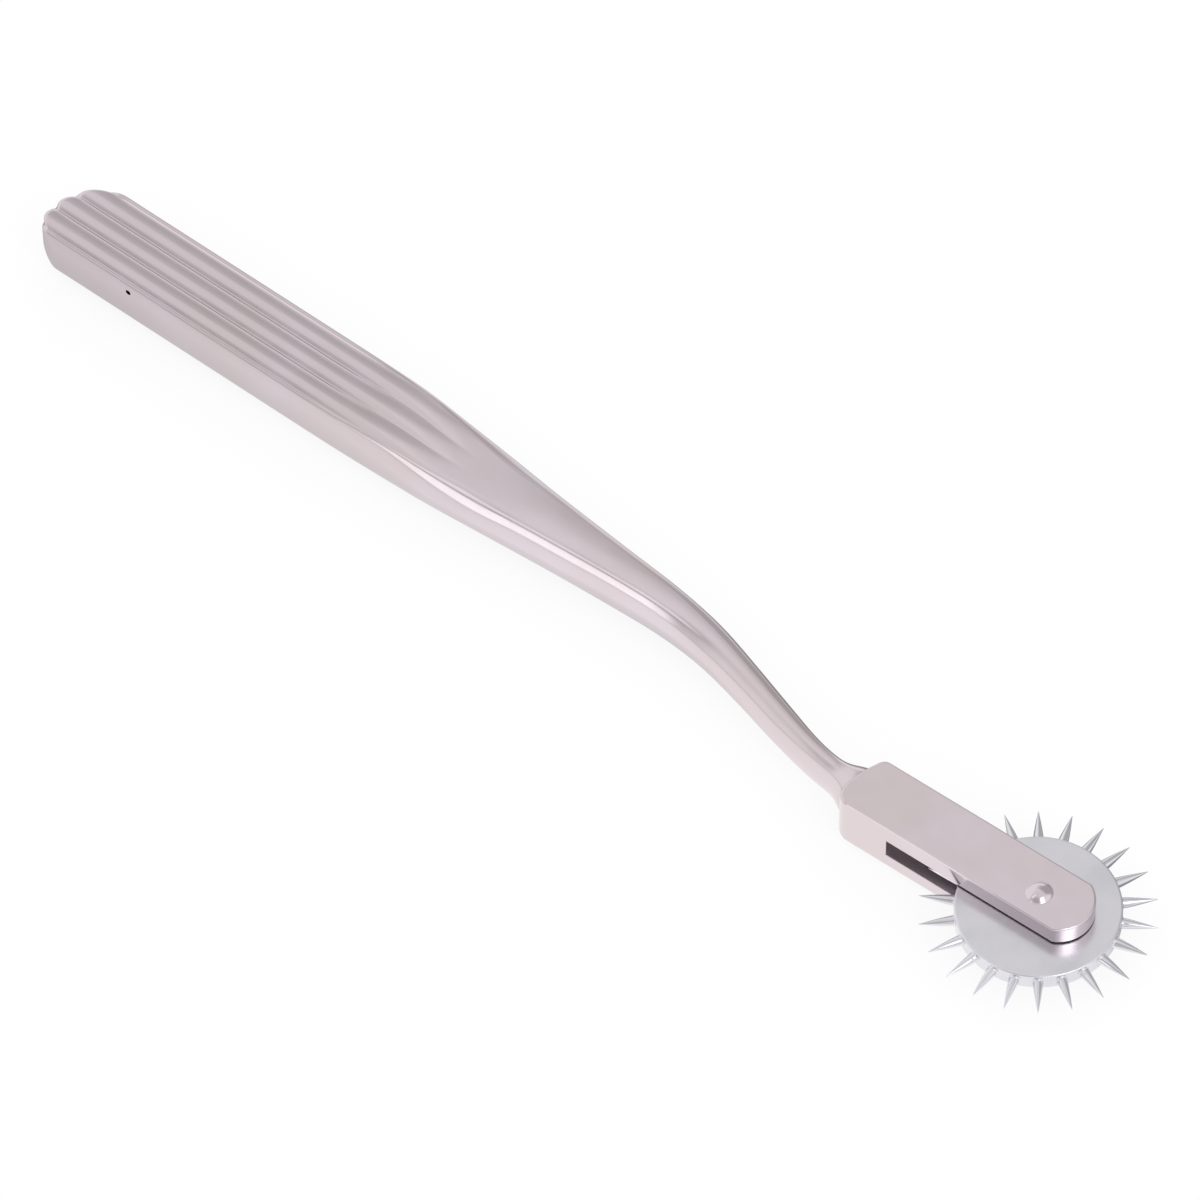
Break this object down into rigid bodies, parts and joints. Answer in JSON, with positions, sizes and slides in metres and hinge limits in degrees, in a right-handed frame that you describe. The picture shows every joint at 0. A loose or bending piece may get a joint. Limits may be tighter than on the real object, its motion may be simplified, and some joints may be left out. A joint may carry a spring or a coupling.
{
  "type": "neurological pinwheel",
  "caption": "Hand-held pinwheel for testing skin sensation: a ribbed handle with a cranked neck, a slotted fork and a freely turning wheel of sharp pins.",
  "frame": {"origin": "middle of the bounding box in plan, at the level of the lower rivet head, on which the wheel end lies when the instrument is laid down", "axes": "+X along the handle, from its rounded end to the wheel; +Z along the wheel's axle; +Y to the side on which the handle lies"},
  "size_m": [0.1902, 0.032, 0.0107],
  "materials": {
    "satin_steel": "satin brushed stainless steel",
    "bright_steel": "bright polished"
  },
  "bodies": {
    "holder": {"handle": "satin_steel", "fork": "satin_steel", "axle_rivet": "satin_steel"},
    "wheel": {"wheel_disc": "bright_steel", "pin_01": "bright_steel", "pin_02": "bright_steel", "pin_03": "bright_steel", "pin_04": "bright_steel", "pin_05": "bright_steel", "pin_06": "bright_steel", "pin_07": "bright_steel", "pin_08": "bright_steel", "pin_09": "bright_steel", "pin_10": "bright_steel", "pin_11": "bright_steel", "pin_12": "bright_steel", "pin_13": "bright_steel", "pin_14": "bright_steel", "pin_15": "bright_steel", "pin_16": "bright_steel", "pin_17": "bright_steel", "pin_18": "bright_steel", "pin_19": "bright_steel", "pin_20": "bright_steel", "pin_21": "bright_steel", "pin_22": "bright_steel"}
  },
  "joints": [
    {"name": "wheel_spin", "type": "hinge", "parent": "holder", "child": "wheel", "pos_m": [0.07912, 0, 0.00536], "axis": [0, 0, 1], "continuous": true}
  ]
}
